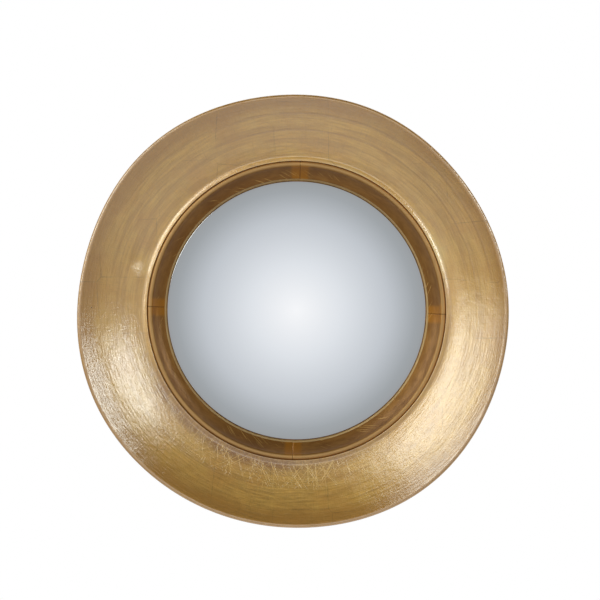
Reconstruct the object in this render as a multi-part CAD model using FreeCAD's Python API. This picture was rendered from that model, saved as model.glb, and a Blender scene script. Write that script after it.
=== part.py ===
"""Round convex mirror: a sunk convex glass in a broad, hand-formed ring frame with a scooped front.

Units are millimetres. The origin is on the glass axis in the wall plane, +Z is up, and the front of
the mirror faces -Y. Sections are drawn in (r, h): r is the distance from the glass axis and h the
height in front of the wall, so a point at (r, h) lies at y = -h.
"""
import FreeCAD, Part
import math
import os

V = FreeCAD.Vector

# ---------------------------------------------------------------------------------------------
# Driving dimensions
# ---------------------------------------------------------------------------------------------

# Running and seating clearances
RUN_FIT = 0.08            # radial play of a pin or bar that turns in a hole
BODY_GAP = 0.3            # gap between pieces that move against each other
SEAT_GAP = 0.3            # gap between curved pieces that are only laid together

CUT_CLEAR = 1.0           # how far a cutting tool runs past what it cuts

# Widths across the front, from the glass outwards
SIGHT_RADIUS = 184.5      # inner edge of the liner
LINER_WIDTH = 24.0        # from the sight edge to the front ring's lip
FLANGE_WIDTH = 91.5       # from the lip to the mean outline

# Front ring: outline
RIM_SHIFT_X = -4.8        # the outline's centre, seen from the glass axis
RIM_SHIFT_Z = -2.0
# The hand-formed outline is a circle plus low waves: (waves per turn, height, angle of a crest)
RIM_WAVES = (
    (2, 1.9, -59.5),
    (3, 1.4, -38.7),
    (4, 1.3, 35.8),
    (5, 0.6, -3.5),
    (6, 0.8, 10.6),
)
OUTLINE_SECTIONS = 24     # sections that the ring is lofted through

# Front ring and back ring: section
BACK_HEIGHT = 7.0         # the frame's back stands this far off the wall, on its bumpers
BOARD_THICK = 3.0
BOARD_TO_GLASS = 0.2
GLASS_THICK = 3.0
SEAL_THICK = 1.2          # felt between the glass bevel and the web, at the web's inner edge
WEB_THICK = 4.4
LIP_ABOVE_WEB = 27.5
LIP_WIDTH = 5.0           # the lip's front face, from its edge out to the valley
LIP_FALL = 1.3            # how much it falls over that width
LIP_CROWN = 0.14          # how far it bows out between its ends
LIP_CHAMFER = 0.8
VALLEY_FILLET = 4.0       # radius in the valley between the lip and the scoop
VALLEY_INNER_TILT = 20.0  # slope where the fillet leaves the lip, degrees
VALLEY_OUTER_TILT = 19.0  # slope where the scoop leaves the fillet, degrees
SCOOP_INNER_WIDTH = 23.5  # the scoop is three arcs, which run smoothly into each other
SCOOP_INNER_RISE = 10.3
SCOOP_MIDDLE_WIDTH = 30.0
SCOOP_MIDDLE_RISE = 17.7
SCOOP_OUTER_RISE = 17.0   # up to the crest of the rim
RIM_NOSE_RADIUS = 3.5
RIM_SIDE = 9.0            # height of the rim's side below its rounded nose
RIM_SIDE_TAPER = 1.2
UNDERSIDE_HOLLOW = 4.0    # how far the underside bows in, between the rim and the back ring
BACK_RING_WIDTH = 58.0    # from the glass rebate to the back ring's outer side
BACK_RING_THICK = 18.0
BACK_RING_DRAFT = 2.0     # its side leans out this far towards the front ring

# Opening, glass and what lies behind it
WEB_STEP = 1.5            # the web's edge lies this far outside the liner's
GLASS_COVER = 5.5         # how much of the glass's edge the liner covers
GLASS_CURVE = 800.0       # radius of the convex front
BEVEL_WIDTH = 10.5
BEVEL_TILT = 8.0          # steeper than the glass where it starts, degrees
GLASS_SIDE_GAP = 5.0      # room around the glass for its setting blocks
BLOCK_LENGTH = 26.0
QUARTER_ANGLES = {"upper_right": 45, "upper_left": 135, "lower_left": 225, "lower_right": 315}

# Liner, in quarter lengths
LINER_JOINT = 0.3         # gap at the butt joints
LINER_FIRST_JOINT = -1.5  # angle of the right-hand joint, degrees
LINER_BELOW_LIP = 1.2     # the top of its bead lies this far behind the lip
LINER_BEAD_RADIUS = 4.2
LINER_BEAD_SLOPE = 58.0   # slope where the bead runs into the cove, degrees
LINER_NOSE = 2.4          # thickness at the sight edge
LINER_COVE_DEPTH = 1.6
LINER_EDGE_ROUND = 0.8

# Turn buttons
BUTTON_COUNT = 6
BUTTON_FIRST_ANGLE = 0.0
BUTTON_PIVOT_OUT = 8.0    # pivot outside the rebate's edge
BUTTON_REACH = 20.0       # from the pivot to the centre of the rounded tip
BUTTON_TAIL = 4.0
BUTTON_WIDTH = 12.0
BUTTON_THICK = 1.6
BUTTON_EDGE_ROUND = 0.4

# Wood screws
SCREW_SHANK = 1.75        # radius
BUTTON_SCREW_LENGTH = 9.0 # lengths in the wood
HANGER_SCREW_LENGTH = 14.0
SCREW_POINT = 3.5
SCREW_HEAD = 3.6
SCREW_HEAD_HEIGHT = 1.9
SCREW_HEAD_ROUND = 1.1
SCREW_CROSS_WIDTH = 0.9
SCREW_CROSS_LENGTH = 4.2
SCREW_CROSS_DEPTH = 1.0

# Hangers
HANGER_ANGLE = 25.0       # the rings' bars lie this far above the horizontal, on the back ring
STRAP_WIDTH = 15.0
STRAP_METAL = 1.2
STRAP_LENGTH = 34.0       # from the bar's axis to the end
STRAP_HOLE_NEAR = 9.0     # down from the bar's axis
STRAP_HOLE_FAR = 27.0
STRAP_CORNER = 2.5
RING_WIRE = 1.5
RING_HALF_WIDTH = 10.0
RING_LEG = 5.0

# Wall bumpers
BUMPER_RADIUS = 9.0
BUMPER_TIP_RADIUS = 7.5

# ---------------------------------------------------------------------------------------------
# Sizes worked out from them
# ---------------------------------------------------------------------------------------------

LIP_RADIUS = SIGHT_RADIUS + LINER_WIDTH
RIM_RADIUS = LIP_RADIUS + FLANGE_WIDTH
GLASS_RADIUS = SIGHT_RADIUS + GLASS_COVER
BEVEL_START = GLASS_RADIUS - BEVEL_WIDTH


def sphere_drop(radius, r):
    """How far a sphere of that radius has fallen behind its apex at the distance r."""
    return radius - math.sqrt(radius * radius - r * r)


BOARD_FRONT = BACK_HEIGHT + BOARD_THICK
GLASS_BACK_CURVE = GLASS_CURVE - GLASS_THICK
GLASS_APEX = BOARD_FRONT + BOARD_TO_GLASS + GLASS_THICK + sphere_drop(GLASS_BACK_CURVE, GLASS_RADIUS)
BEVEL_SLOPE = math.asin(BEVEL_START / GLASS_CURVE) + math.radians(BEVEL_TILT)


def bevel_height(r):
    """Height of the glass's bevelled front at the distance r."""
    start = GLASS_APEX - sphere_drop(GLASS_CURVE, BEVEL_START)
    return start - (r - BEVEL_START) * math.tan(BEVEL_SLOPE)


WEB_RADIUS = SIGHT_RADIUS + WEB_STEP
WEB_BACK = bevel_height(WEB_RADIUS) + SEAL_THICK
WEB_FRONT = WEB_BACK + WEB_THICK
REBATE_RADIUS = GLASS_RADIUS + GLASS_SIDE_GAP
BACK_RADIUS = REBATE_RADIUS + BACK_RING_WIDTH
BACK_MIDDLE = (REBATE_RADIUS + BACK_RADIUS) / 2
BACK_RING_FRONT = BACK_HEIGHT + BACK_RING_THICK
LIP_HEIGHT = WEB_FRONT + LIP_ABOVE_WEB

LIP_FOOT = (LIP_RADIUS + LIP_WIDTH, LIP_HEIGHT - LIP_FALL)


def off_fillet(centre, tilt):
    """Point of the valley's fillet where its slope is that many degrees, rising outwards."""
    slope = math.radians(tilt)
    return (centre[0] + VALLEY_FILLET * math.sin(slope), centre[1] - VALLEY_FILLET * math.cos(slope))


VALLEY_CENTRE = (
    LIP_FOOT[0] + VALLEY_FILLET * math.sin(math.radians(VALLEY_INNER_TILT)),
    LIP_FOOT[1] + VALLEY_FILLET * math.cos(math.radians(VALLEY_INNER_TILT)),
)
VALLEY_HEIGHT = VALLEY_CENTRE[1] - VALLEY_FILLET
SCOOP_START = off_fillet(VALLEY_CENTRE, VALLEY_OUTER_TILT)
RIM_TOP = SCOOP_START[1] + SCOOP_INNER_RISE + SCOOP_MIDDLE_RISE + SCOOP_OUTER_RISE

BUTTON_PIVOT_RADIUS = REBATE_RADIUS + BUTTON_PIVOT_OUT
BUTTON_ANGLES = [BUTTON_FIRST_ANGLE + 360.0 * i / BUTTON_COUNT for i in range(BUTTON_COUNT)]

HANGER_X = BACK_MIDDLE * math.cos(math.radians(HANGER_ANGLE))
HANGER_Z = BACK_MIDDLE * math.sin(math.radians(HANGER_ANGLE))
STRAP_HOLES = (STRAP_HOLE_NEAR, STRAP_HOLE_FAR)
STRAP_THICK = 2 * STRAP_METAL
LOOP_BORE = RING_WIRE + RUN_FIT
LOOP_OUTER = LOOP_BORE + STRAP_METAL
HANGER_PIVOT_HEIGHT = BACK_HEIGHT - LOOP_OUTER
RING_TOP = RING_LEG + RING_HALF_WIDTH
# The ring leans on the frame at rest, and lies on its strap when it is swung right down
RING_LEAN = math.asin((BACK_HEIGHT - BODY_GAP - RING_WIRE - HANGER_PIVOT_HEIGHT) / RING_TOP)
RING_DOWN_LIFT = STRAP_THICK + BODY_GAP + RING_WIRE - (BACK_HEIGHT - HANGER_PIVOT_HEIGHT)
RING_SWING = math.pi + RING_LEAN - math.asin(RING_DOWN_LIFT / RING_TOP)


# ---------------------------------------------------------------------------------------------
# Drawing helpers
# ---------------------------------------------------------------------------------------------

def at(r, h, angle=0.0):
    """The point at distance r and height h, at an angle in degrees about the glass axis."""
    a = math.radians(angle)
    return V(r * math.cos(a), -h, r * math.sin(a))


def line(start, end, angle=0.0):
    return Part.makeLine(at(*start, angle), at(*end, angle))


def arc(start, middle, end, angle=0.0):
    return Part.Arc(at(*start, angle), at(*middle, angle), at(*end, angle)).toShape()


def bowed(start, end, depth):
    """Middle of an arc from start to end that bows out by depth, to the right of the way it runs."""
    run = end[0] - start[0]
    rise = end[1] - start[1]
    chord = math.hypot(run, rise)
    return ((start[0] + end[0]) / 2 + depth * rise / chord, (start[1] + end[1]) / 2 - depth * run / chord)


def turned(edges, sweep=360.0, first=0.0):
    """The solid that a closed section sweeps about the glass axis, anticlockwise from the front."""
    face = Part.Face(Part.Wire(edges))
    solid = face.revolve(V(0, 0, 0), V(0, -1, 0), sweep)
    solid.rotate(V(0, 0, 0), V(0, -1, 0), first)
    return solid


def polygon(points):
    """Straight edges through (r, h) points and back to the first."""
    return [line(p, q) for p, q in zip(points, points[1:] + points[:1])]


def plug(radius, low, high, x=0.0, z=0.0):
    """A cylinder along the glass axis direction, between two heights."""
    return Part.makeCylinder(radius, high - low, V(x, -low, z), V(0, -1, 0))


def edges_at(shape, y, z=None):
    """The shape's edges whose centre lies at that y, and at that z if one is given."""
    close = 0.01
    return [e for e in shape.Edges if abs(e.CenterOfMass.y - y) < close
            and (z is None or abs(e.CenterOfMass.z - z) < close)]


def placed(shape, angle, r):
    """A piece drawn at the origin with its length outwards along +X, set at r and an angle."""
    moved = shape.copy()
    moved.translate(V(r, 0, 0))
    moved.rotate(V(0, 0, 0), V(0, -1, 0), angle)
    return moved


# ---------------------------------------------------------------------------------------------
# Front ring and back ring
# ---------------------------------------------------------------------------------------------

def rim_radius(angle):
    """Outer radius of the hand-formed outline at an angle about the glass axis."""
    a = math.radians(angle)
    radius = RIM_RADIUS + RIM_SHIFT_X * math.cos(a) + RIM_SHIFT_Z * math.sin(a)
    for count, height, crest in RIM_WAVES:
        radius += height * math.cos(count * (a - math.radians(crest)))
    return radius


def scoop_arc(start, end, start_slope):
    """Middle point of the arc from start to end that leaves start at the given slope."""
    run = end[0] - start[0]
    rise = end[1] - start[1]
    half_turn = math.atan2(rise, run) - start_slope
    return bowed(start, end, math.hypot(run, rise) / 2 * math.tan(half_turn / 2))


def end_slope(start, end, start_slope):
    """Slope at its end, in radians, of the arc from start to end that leaves start at the given slope."""
    return 2 * math.atan2(end[1] - start[1], end[0] - start[0]) - start_slope


def ring_section(angle):
    """Closed section of the front ring, before its inside is turned out."""
    rim = rim_radius(angle)
    # Where the outline is wider, the scoop is drawn out with it
    stretch = (rim - SCOOP_START[0]) / (RIM_RADIUS - SCOOP_START[0])
    inner_slope = math.radians(VALLEY_OUTER_TILT)

    lip = (LIP_RADIUS, LIP_HEIGHT)
    valley = (VALLEY_CENTRE[0], VALLEY_HEIGHT)
    inner_end = (SCOOP_START[0] + SCOOP_INNER_WIDTH * stretch, SCOOP_START[1] + SCOOP_INNER_RISE)
    middle_end = (inner_end[0] + SCOOP_MIDDLE_WIDTH * stretch, inner_end[1] + SCOOP_MIDDLE_RISE)
    middle_slope = end_slope(SCOOP_START, inner_end, inner_slope)
    outer_slope = end_slope(inner_end, middle_end, middle_slope)

    nose_centre = (rim - RIM_NOSE_RADIUS, RIM_TOP - RIM_NOSE_RADIUS)
    # The scoop meets the rounded nose on the nose's inner shoulder, square to its radius
    shoulder = end_slope(middle_end, (nose_centre[0], RIM_TOP), outer_slope)
    nose_start = (
        nose_centre[0] - RIM_NOSE_RADIUS * math.sin(shoulder),
        nose_centre[1] + RIM_NOSE_RADIUS * math.cos(shoulder),
    )
    middle = (math.pi / 2 - shoulder) / 2
    nose_middle = (
        nose_centre[0] + RIM_NOSE_RADIUS * math.sin(middle),
        nose_centre[1] + RIM_NOSE_RADIUS * math.cos(middle),
    )
    nose_end = (rim, nose_centre[1])
    side = (rim - RIM_SIDE_TAPER, nose_centre[1] - RIM_SIDE)
    heel = (BACK_RADIUS + BACK_RING_DRAFT, BACK_RING_FRONT)
    edges = [
        line((SIGHT_RADIUS, BACK_RING_FRONT), heel, angle),
        arc(heel, bowed(heel, side, -UNDERSIDE_HOLLOW), side, angle),
        line(side, nose_end, angle),
        arc(nose_end, nose_middle, nose_start, angle),
        arc(nose_start, scoop_arc(middle_end, nose_start, outer_slope), middle_end, angle),
        arc(middle_end, scoop_arc(inner_end, middle_end, middle_slope), inner_end, angle),
        arc(inner_end, scoop_arc(SCOOP_START, inner_end, inner_slope), SCOOP_START, angle),
        arc(SCOOP_START, valley, LIP_FOOT, angle),
        arc(LIP_FOOT, bowed(LIP_FOOT, lip, LIP_CROWN), lip, angle),
        line(lip, (SIGHT_RADIUS, LIP_HEIGHT), angle),
        line((SIGHT_RADIUS, LIP_HEIGHT), (SIGHT_RADIUS, BACK_RING_FRONT), angle),
    ]
    return Part.Wire(edges)


def button_pivots():
    """Where the turn buttons' screws enter the back ring, as (x, z)."""
    points = [at(BUTTON_PIVOT_RADIUS, 0, angle) for angle in BUTTON_ANGLES]
    return [(point.x, point.z) for point in points]


def hanger_holes():
    """Where the hangers' screws enter the back ring, as (x, z)."""
    return [(side * HANGER_X, HANGER_Z - down) for side in (-1, 1) for down in STRAP_HOLES]


def screw_stem(x, z, start, length):
    """Shank and point of a screw, from a start height to the given length inside the back ring."""
    shank_end = BACK_HEIGHT + length - SCREW_POINT
    point = Part.makeCone(SCREW_SHANK, 0, SCREW_POINT, V(x, -shank_end, z), V(0, -1, 0))
    return plug(SCREW_SHANK, start, shank_end, x, z).fuse(point)


def front_ring():
    """The scooped ring, with its inside turned out to the lip and the lip's edge broken."""
    sections = [ring_section(360.0 * i / OUTLINE_SECTIONS) for i in range(OUTLINE_SECTIONS)]
    ring = Part.makeLoft(sections, True, False, True)
    edge = LIP_HEIGHT - LIP_CHAMFER
    mouth = LIP_WIDTH / 2
    inside = turned(polygon([
        (0, BACK_RING_FRONT - CUT_CLEAR),
        (LIP_RADIUS, BACK_RING_FRONT - CUT_CLEAR),
        (LIP_RADIUS, edge),
        (LIP_RADIUS + mouth, edge + mouth),
        (0, edge + mouth),
    ]))
    return ring.cut(inside)


def back_ring():
    """Flat ring behind the front ring: its web holds the liner and the glass, its back the fittings."""
    ring = turned(polygon([
        (REBATE_RADIUS, BACK_HEIGHT),
        (BACK_RADIUS, BACK_HEIGHT),
        (BACK_RADIUS + BACK_RING_DRAFT, BACK_RING_FRONT),
        (LIP_RADIUS, BACK_RING_FRONT),
        (LIP_RADIUS, WEB_FRONT),
        (WEB_RADIUS, WEB_FRONT),
        (WEB_RADIUS, WEB_BACK),
        (REBATE_RADIUS, WEB_BACK),
    ]))
    start = BACK_HEIGHT - CUT_CLEAR
    stems = [screw_stem(x, z, start, BUTTON_SCREW_LENGTH) for x, z in button_pivots()]
    stems += [screw_stem(x, z, start, HANGER_SCREW_LENGTH) for x, z in hanger_holes()]
    return ring.cut(Part.makeCompound(stems))


# ---------------------------------------------------------------------------------------------
# Liner, glass and what holds the glass
# ---------------------------------------------------------------------------------------------

def liner_section():
    """Cove moulding: an outer bead beside the lip and a slightly hollow fall to the sight edge."""
    outer = LIP_RADIUS - SEAT_GAP
    bead_r = outer - LINER_BEAD_RADIUS
    bead_h = LIP_HEIGHT - LINER_BELOW_LIP - LINER_BEAD_RADIUS
    slope = math.radians(LINER_BEAD_SLOPE)
    bead_top = (bead_r, bead_h + LINER_BEAD_RADIUS)
    cove_top = (bead_r - LINER_BEAD_RADIUS * math.sin(slope), bead_h + LINER_BEAD_RADIUS * math.cos(slope))
    nose_top = (SIGHT_RADIUS + LINER_EDGE_ROUND, WEB_FRONT + LINER_NOSE)
    nose_mid = (SIGHT_RADIUS, WEB_FRONT + LINER_NOSE - LINER_EDGE_ROUND)
    nose_low = (SIGHT_RADIUS + LINER_EDGE_ROUND, WEB_FRONT)
    cove_mid = bowed(nose_top, cove_top, LINER_COVE_DEPTH)
    return [
        line((outer, WEB_FRONT), (outer, bead_h)),
        arc((outer, bead_h), bead_top, cove_top),
        arc(cove_top, cove_mid, nose_top),
        arc(nose_top, nose_mid, nose_low),
        line(nose_low, (outer, WEB_FRONT)),
    ]


def liners():
    """The four quarter lengths, anticlockwise from the right-hand joint."""
    joint = math.degrees(LINER_JOINT / SIGHT_RADIUS)
    quarter = 360.0 / len(QUARTER_ANGLES)
    return {"liner_" + place: turned(liner_section(), quarter - joint,
                                     LINER_FIRST_JOINT + middle - quarter / 2 + joint / 2)
            for place, middle in QUARTER_ANGLES.items()}


def glass():
    back_edge = GLASS_APEX - GLASS_THICK - sphere_drop(GLASS_BACK_CURVE, GLASS_RADIUS)
    half = BEVEL_START / 2
    front_mid = (half, GLASS_APEX - sphere_drop(GLASS_CURVE, half))
    bevel_top = (BEVEL_START, bevel_height(BEVEL_START))
    bevel_edge = (GLASS_RADIUS, bevel_height(GLASS_RADIUS))
    half = GLASS_RADIUS / 2
    back_mid = (half, GLASS_APEX - GLASS_THICK - sphere_drop(GLASS_BACK_CURVE, half))
    apex_back = (0, GLASS_APEX - GLASS_THICK)
    return turned([
        arc((0, GLASS_APEX), front_mid, bevel_top),
        line(bevel_top, bevel_edge),
        line(bevel_edge, (GLASS_RADIUS, back_edge)),
        arc((GLASS_RADIUS, back_edge), back_mid, apex_back),
        line(apex_back, (0, GLASS_APEX)),
    ])


def glass_seal():
    """Felt ring that fills the wedge between the web's back and the bevel."""
    inner = WEB_RADIUS
    return turned(polygon([
        (inner, bevel_height(inner)),
        (GLASS_RADIUS, bevel_height(GLASS_RADIUS)),
        (GLASS_RADIUS, WEB_BACK),
        (inner, WEB_BACK),
    ]))


def setting_blocks():
    """Rubber blocks between the glass's edge and the rebate's wall."""
    sweep = math.degrees(BLOCK_LENGTH / GLASS_RADIUS)
    section = polygon([
        (GLASS_RADIUS + SEAT_GAP / 2, BOARD_FRONT),
        (REBATE_RADIUS, BOARD_FRONT),
        (REBATE_RADIUS, WEB_BACK),
        (GLASS_RADIUS + SEAT_GAP / 2, WEB_BACK),
    ])
    return {"setting_block_" + place: turned(section, sweep, angle - sweep / 2)
            for place, angle in QUARTER_ANGLES.items()}


def backing_board():
    return plug(REBATE_RADIUS - SEAT_GAP, BACK_HEIGHT, BOARD_FRONT)


# ---------------------------------------------------------------------------------------------
# Screws, turn buttons, hangers and bumpers
# ---------------------------------------------------------------------------------------------

def wood_screw(x, z, seat, length):
    """Pan head screw driven that length into the wood. seat is the height of its head's underside."""
    head = plug(SCREW_HEAD, seat - SCREW_HEAD_HEIGHT, seat, x, z)
    head = head.makeFillet(SCREW_HEAD_ROUND, edges_at(head, y=SCREW_HEAD_HEIGHT - seat))
    screw = head.fuse(screw_stem(x, z, seat, length))
    cross_top = -(seat - SCREW_HEAD_HEIGHT)
    for size_x, size_z in ((SCREW_CROSS_LENGTH, SCREW_CROSS_WIDTH), (SCREW_CROSS_WIDTH, SCREW_CROSS_LENGTH)):
        corner = V(x - size_x / 2, cross_top - SCREW_CROSS_DEPTH, z - size_z / 2)
        screw = screw.cut(Part.makeBox(size_x, SCREW_CROSS_DEPTH + CUT_CLEAR, size_z, corner))
    return screw


def turn_button():
    """Drawn with its pivot at the origin and its tip towards the glass axis (-X)."""
    half = BUTTON_WIDTH / 2
    top = BACK_HEIGHT - BODY_GAP
    low = top - BUTTON_THICK

    def p(x, z):
        return V(x, -top, z)

    outline = Part.Wire([
        Part.makeLine(p(-BUTTON_REACH, half), p(BUTTON_TAIL, half)),
        Part.Arc(p(BUTTON_TAIL, half), p(BUTTON_TAIL + half, 0), p(BUTTON_TAIL, -half)).toShape(),
        Part.makeLine(p(BUTTON_TAIL, -half), p(-BUTTON_REACH, -half)),
        Part.Arc(p(-BUTTON_REACH, -half), p(-BUTTON_REACH - half, 0), p(-BUTTON_REACH, half)).toShape(),
    ])
    plate = Part.Face(outline).extrude(V(0, BUTTON_THICK, 0))
    plate = plate.makeFillet(BUTTON_EDGE_ROUND, edges_at(plate, y=-low))
    return plate.cut(plug(SCREW_SHANK + RUN_FIT, low - CUT_CLEAR, top + CUT_CLEAR))


def turn_buttons():
    button = turn_button()
    return {"turn_button_%d" % (i + 1): placed(button, angle, BUTTON_PIVOT_RADIUS)
            for i, angle in enumerate(BUTTON_ANGLES)}


def button_screws():
    seat = BACK_HEIGHT - BODY_GAP - BUTTON_THICK - BODY_GAP
    return Part.makeCompound([wood_screw(x, z, seat, BUTTON_SCREW_LENGTH) for x, z in button_pivots()])


def hanger_screws():
    seat = BACK_HEIGHT - STRAP_THICK
    return Part.makeCompound([wood_screw(x, z, seat, HANGER_SCREW_LENGTH) for x, z in hanger_holes()])


def hanger_strap(x):
    """Steel strap folded round the ring's bar, its two leaves screwed flat to the back ring."""
    leaf = Part.makeBox(STRAP_WIDTH, STRAP_THICK, STRAP_LENGTH,
                        V(x - STRAP_WIDTH / 2, -BACK_HEIGHT, HANGER_Z - STRAP_LENGTH))
    corners = edges_at(leaf, y=STRAP_THICK / 2 - BACK_HEIGHT, z=HANGER_Z - STRAP_LENGTH)
    leaf = leaf.makeFillet(STRAP_CORNER, corners)
    axis_start = V(x - STRAP_WIDTH / 2, -HANGER_PIVOT_HEIGHT, HANGER_Z)
    loop = Part.makeCylinder(LOOP_OUTER, STRAP_WIDTH, axis_start, V(1, 0, 0))
    bore = Part.makeCylinder(LOOP_BORE, STRAP_WIDTH, axis_start, V(1, 0, 0))
    strap = leaf.fuse(loop).removeSplitter().cut(bore)
    holes = [plug(SCREW_SHANK, 0, BACK_HEIGHT + CUT_CLEAR, x, HANGER_Z - down) for down in STRAP_HOLES]
    return strap.cut(Part.makeCompound(holes))


def hanger_ring(x):
    """D-shaped wire ring, leaning up against the back ring."""
    side = RING_HALF_WIDTH
    bar = Part.makeCylinder(RING_WIRE, 2 * side, V(-side, 0, 0), V(1, 0, 0))
    legs = [Part.makeCylinder(RING_WIRE, RING_LEG, V(s * side, 0, 0), V(0, 0, 1)) for s in (-1, 1)]
    corners = [Part.makeSphere(RING_WIRE, V(s * side, 0, 0)) for s in (-1, 1)]
    bow = Part.makeTorus(side, RING_WIRE, V(0, 0, RING_LEG), V(0, 1, 0))
    keep = Part.makeBox(4 * side, 4 * side, 2 * side, V(-2 * side, -2 * side, RING_LEG))
    ring = bar.fuse(legs + corners + [bow.common(keep)])
    ring.rotate(V(0, 0, 0), V(1, 0, 0), math.degrees(RING_LEAN))
    ring.translate(V(x, -HANGER_PIVOT_HEIGHT, HANGER_Z))
    return ring


def wall_bumpers():
    pieces = {}
    for place, angle in QUARTER_ANGLES.items():
        centre = at(BACK_MIDDLE, 0, angle)
        pieces["wall_bumper_" + place] = Part.makeCone(
            BUMPER_TIP_RADIUS, BUMPER_RADIUS, BACK_HEIGHT, centre, V(0, -1, 0))
    return pieces


# ---------------------------------------------------------------------------------------------
# Assembly
# ---------------------------------------------------------------------------------------------

def build():
    nodes = {"front_ring": front_ring(), "back_ring": back_ring()}
    nodes.update(liners())
    nodes["mirror_glass"] = glass()
    nodes["glass_seal"] = glass_seal()
    nodes.update(setting_blocks())
    nodes["backing_board"] = backing_board()
    nodes.update(turn_buttons())
    nodes["turn_button_screws"] = button_screws()
    for side, x in (("left", -HANGER_X), ("right", HANGER_X)):
        nodes[side + "_hanger_strap"] = hanger_strap(x)
        nodes[side + "_hanger_ring"] = hanger_ring(x)
    nodes["hanger_screws"] = hanger_screws()
    nodes.update(wall_bumpers())
    return nodes


os.makedirs("parts", exist_ok=True)
for node, shape in build().items():
    shape.exportStep("parts/" + node + ".step")
    box = shape.BoundBox
    print("%-28s solids %d valid %s volume %.0f mm3 box %.1f %.1f %.1f" % (
        node, len(shape.Solids), shape.isValid(), shape.Volume,
        box.XLength, box.YLength, box.ZLength))
print("rim top %.2f lip %.2f valley %.2f web %.2f..%.2f glass apex %.2f" % (
    RIM_TOP, LIP_HEIGHT, VALLEY_HEIGHT, WEB_BACK, WEB_FRONT, GLASS_APEX))
print("ring lean %.2f deg, swing %.1f deg, pivot height %.3f" % (
    math.degrees(RING_LEAN), math.degrees(RING_SWING), HANGER_PIVOT_HEIGHT))
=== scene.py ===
"""Dresses the round convex mirror: gilded front ring, lacquered liner, silvered glass, painted back.

Units are metres. The origin is on the glass axis in the wall plane, +Z is up and the front faces -Y.
Sections are drawn in (r, h): r is the distance from the glass axis and h the height in front of the
wall, so a point at (r, h) lies at y = -h. Angles run anticlockwise from +X, seen from the front.
"""
import math

import bpy
import numpy as np
from mathutils import Matrix, Vector


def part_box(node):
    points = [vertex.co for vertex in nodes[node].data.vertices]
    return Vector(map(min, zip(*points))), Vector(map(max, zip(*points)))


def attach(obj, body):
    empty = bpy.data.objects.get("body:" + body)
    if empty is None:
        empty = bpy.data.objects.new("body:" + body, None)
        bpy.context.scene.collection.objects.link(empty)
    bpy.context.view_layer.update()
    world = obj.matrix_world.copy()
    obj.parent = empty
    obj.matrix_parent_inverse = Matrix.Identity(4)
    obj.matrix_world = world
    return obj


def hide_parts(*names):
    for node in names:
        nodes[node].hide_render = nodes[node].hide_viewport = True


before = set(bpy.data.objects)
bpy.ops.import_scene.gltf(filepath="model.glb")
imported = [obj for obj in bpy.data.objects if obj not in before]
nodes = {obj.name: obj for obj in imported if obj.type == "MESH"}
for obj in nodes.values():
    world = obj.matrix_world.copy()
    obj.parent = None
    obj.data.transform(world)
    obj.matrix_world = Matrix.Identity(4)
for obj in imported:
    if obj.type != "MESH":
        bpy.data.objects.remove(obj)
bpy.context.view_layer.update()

MM = 0.001

# ---------------------------------------------------------------------------------------------
# Sizes of the turned pieces: as the solids have them, where no comment says otherwise
# ---------------------------------------------------------------------------------------------

SIGHT_RADIUS = 184.5 * MM
LIP_RADIUS = 208.5 * MM
RIM_RADIUS = 300 * MM
RIM_SHIFT_X = -4.8 * MM
RIM_SHIFT_Z = -2.0 * MM
# The hand-formed outline is a circle plus low waves: (waves per turn, height, angle of a crest)
RIM_WAVES = (
    (2, 1.9 * MM, -59.5),
    (3, 1.4 * MM, -38.7),
    (4, 1.3 * MM, 35.8),
    (5, 0.6 * MM, -3.5),
    (6, 0.8 * MM, 10.6),
)

LIP_ROUND = 1.0 * MM
LIP_WIDTH = 5.0 * MM
LIP_FALL = 1.3 * MM
LIP_CROWN = 0.14 * MM
VALLEY_FILLET = 4.0 * MM
VALLEY_INNER_SLOPE = math.radians(20)
VALLEY_OUTER_SLOPE = math.radians(19)
SCOOP_INNER_WIDTH = 23.5 * MM
SCOOP_INNER_RISE = 10.3 * MM
SCOOP_MIDDLE_WIDTH = 30.0 * MM
SCOOP_MIDDLE_RISE = 17.7 * MM
SCOOP_OUTER_RISE = 17.0 * MM
RIM_NOSE_RADIUS = 3.5 * MM
RIM_SIDE = 9 * MM
RIM_SIDE_TAPER = 1.2 * MM
RIM_SIDE_ROUND = 1.5 * MM
UNDERSIDE_HOLLOW = 4 * MM
HEEL_RADIUS = 255 * MM
BACK_RING_FRONT = -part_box("front_ring")[1].y

WEB_FRONT = -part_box("liner_upper_right")[1].y
LIP_HEIGHT = WEB_FRONT + 27.5 * MM
LIP_FOOT = (LIP_RADIUS + LIP_WIDTH, LIP_HEIGHT - LIP_FALL)
VALLEY_CENTRE = (LIP_FOOT[0] + VALLEY_FILLET * math.sin(VALLEY_INNER_SLOPE),
                 LIP_FOOT[1] + VALLEY_FILLET * math.cos(VALLEY_INNER_SLOPE))
SCOOP_START = (VALLEY_CENTRE[0] + VALLEY_FILLET * math.sin(VALLEY_OUTER_SLOPE),
               VALLEY_CENTRE[1] - VALLEY_FILLET * math.cos(VALLEY_OUTER_SLOPE))
RIM_TOP = SCOOP_START[1] + SCOOP_INNER_RISE + SCOOP_MIDDLE_RISE + SCOOP_OUTER_RISE

LINER_GAP = 0.12 * MM       # a finer line than the 0.3 mm of the solids
LINER_BELOW_LIP = 1.2 * MM
LINER_BEAD_RADIUS = 4.2 * MM
LINER_BEAD_SLOPE = math.radians(58)
LINER_NOSE = 2.4 * MM
LINER_COVE_DEPTH = 1.6 * MM
LINER_EDGE_ROUND = 0.8 * MM
LINER_JOINT = 0.06 * MM
LINER_FIRST_JOINT = -1.5
QUARTERS = ("upper_right", "upper_left", "lower_left", "lower_right")

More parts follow.
